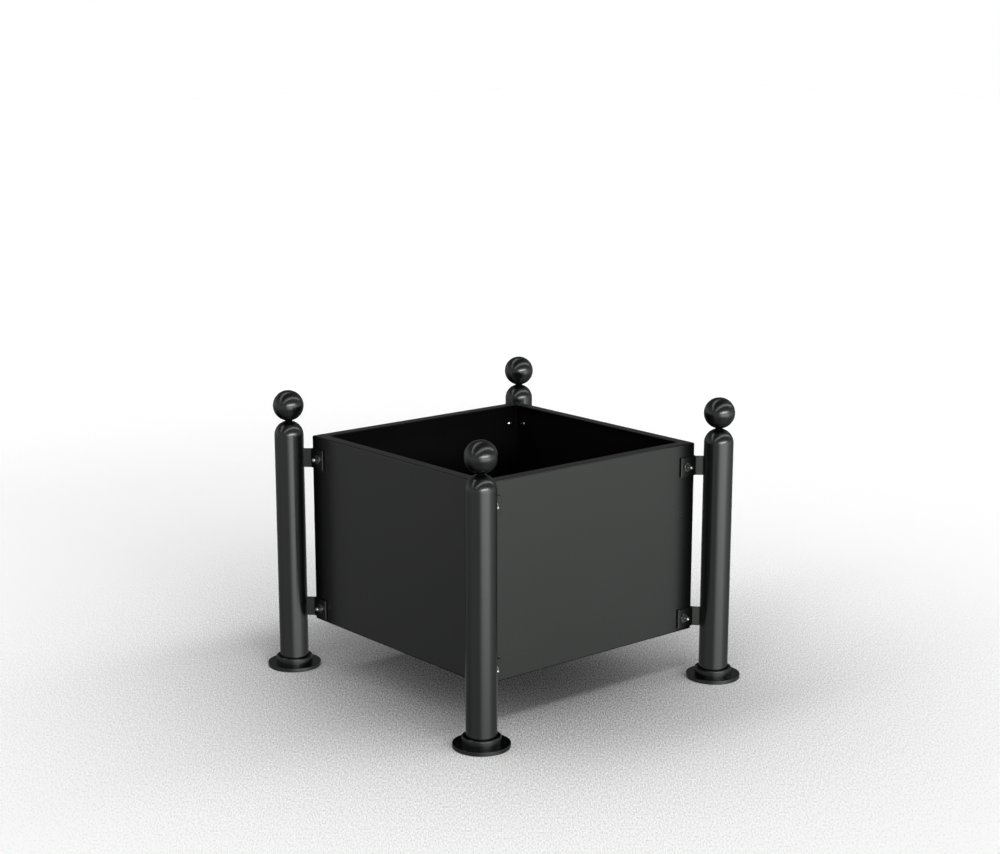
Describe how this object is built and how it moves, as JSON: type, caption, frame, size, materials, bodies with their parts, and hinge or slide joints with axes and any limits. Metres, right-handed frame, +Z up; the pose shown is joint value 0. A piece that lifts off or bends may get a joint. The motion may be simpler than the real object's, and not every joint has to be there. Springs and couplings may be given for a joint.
{
  "type": "versailles planter",
  "caption": "Square steel planter box with a folded rim, bolted by corner brackets between round posts with ball finials and flanged bases.",
  "frame": {"origin": "on the ground at the middle of the planter, level with the undersides of the base rosettes", "axes": "+Z up; the four panels face along X and Y, with the front towards -Y and the left towards -X"},
  "size_m": [0.9308, 0.9308, 0.7484],
  "materials": {
    "panel_coat": "satin charcoal powder coat on folded steel sheet",
    "bracket_coat": "satin charcoal powder coat on flat steel",
    "post_coat": "semi-gloss charcoal powder coat on round tube and balls",
    "base_coat": "semi-gloss near-black powder coat on the round bases",
    "bright_steel": "bare stainless bolts, cap nuts and washers"
  },
  "bodies": {
    "root": {"ball_finial_front_left": "post_coat", "ball_finial_front_right": "post_coat", "ball_finial_rear_left": "post_coat", "ball_finial_rear_right": "post_coat", "base_rosette_front_left": "base_coat", "base_rosette_front_right": "base_coat", "base_rosette_rear_left": "base_coat", "base_rosette_rear_right": "base_coat", "bolt_lower_front_left_on_front": "bright_steel", "bolt_lower_front_left_on_left": "bright_steel", "bolt_lower_front_right_on_front": "bright_steel", "bolt_lower_front_right_on_right": "bright_steel", "bolt_lower_rear_left_on_left": "bright_steel", "bolt_lower_rear_left_on_rear": "bright_steel", "bolt_lower_rear_right_on_rear": "bright_steel", "bolt_lower_rear_right_on_right": "bright_steel", "bolt_upper_front_left_on_front": "bright_steel", "bolt_upper_front_left_on_left": "bright_steel", "bolt_upper_front_right_on_front": "bright_steel", "bolt_upper_front_right_on_right": "bright_steel", "bolt_upper_rear_left_on_left": "bright_steel", "bolt_upper_rear_left_on_rear": "bright_steel", "bolt_upper_rear_right_on_rear": "bright_steel", "bolt_upper_rear_right_on_right": "bright_steel", "bracket_lower_front_left": "bracket_coat", "bracket_lower_front_right": "bracket_coat", "bracket_lower_rear_left": "bracket_coat", "bracket_lower_rear_right": "bracket_coat", "bracket_upper_front_left": "bracket_coat", "bracket_upper_front_right": "bracket_coat", "bracket_upper_rear_left": "bracket_coat", "bracket_upper_rear_right": "bracket_coat", "cap_nut_lower_front_left_on_front": "bright_steel", "cap_nut_lower_front_left_on_left": "bright_steel", "cap_nut_lower_front_right_on_front": "bright_steel", "cap_nut_lower_front_right_on_right": "bright_steel", "cap_nut_lower_rear_left_on_left": "bright_steel", "cap_nut_lower_rear_left_on_rear": "bright_steel", "cap_nut_lower_rear_right_on_rear": "bright_steel", "cap_nut_lower_rear_right_on_right": "bright_steel", "cap_nut_upper_front_left_on_front": "bright_steel", "cap_nut_upper_front_left_on_left": "bright_steel", "cap_nut_upper_front_right_on_front": "bright_steel", "cap_nut_upper_front_right_on_right": "bright_steel", "cap_nut_upper_rear_left_on_left": "bright_steel", "cap_nut_upper_rear_left_on_rear": "bright_steel", "cap_nut_upper_rear_right_on_rear": "bright_steel", "cap_nut_upper_rear_right_on_right": "bright_steel", "floor_bearer_left": "panel_coat", "floor_bearer_right": "panel_coat", "floor_plate": "panel_coat", "post_front_left": "post_coat", "post_front_right": "post_coat", "post_rear_left": "post_coat", "post_rear_right": "post_coat", "side_panel_front": "panel_coat", "side_panel_left": "panel_coat", "side_panel_rear": "panel_coat", "side_panel_right": "panel_coat"}
  },
  "joints": []
}
